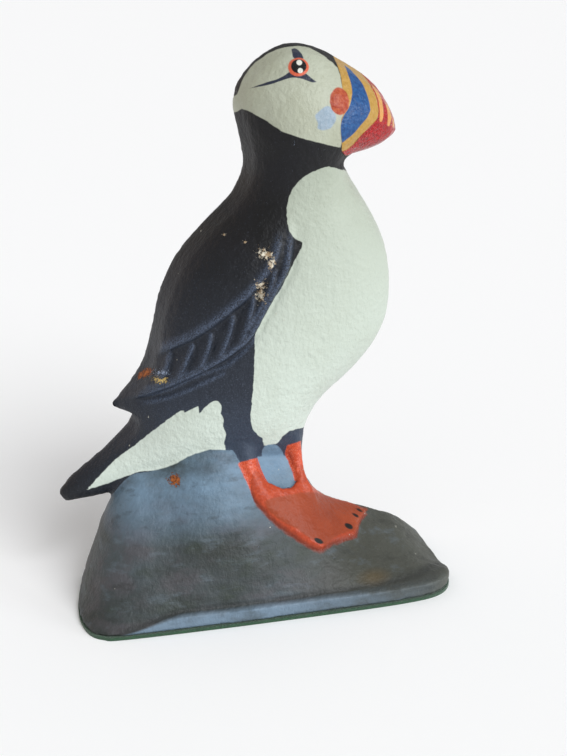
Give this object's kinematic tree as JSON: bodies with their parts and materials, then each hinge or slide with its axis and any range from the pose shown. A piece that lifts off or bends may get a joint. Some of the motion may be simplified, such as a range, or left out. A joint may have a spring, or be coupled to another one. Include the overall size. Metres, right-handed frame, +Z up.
{
  "type": "puffin doorstop",
  "caption": "Cast iron doorstop: a painted puffin in deep relief standing on a rock, open behind, with a felt pad under it.",
  "frame": {"origin": "on the underside of the felt pad, in the middle of the rock's depth and near the middle of its length", "axes": "+Z up, +X towards the side the puffin looks to, -Y towards the viewer of the relief, +Y towards the flat open back"},
  "size_m": [0.1762, 0.0558, 0.2393],
  "materials": {
    "painted_iron": "hand-painted cast iron, satin to glossy, with chips and a little rust",
    "felt": "green wool felt"
  },
  "bodies": {
    "root": {"puffin_casting": "painted_iron", "felt_pad": "felt"}
  },
  "joints": []
}
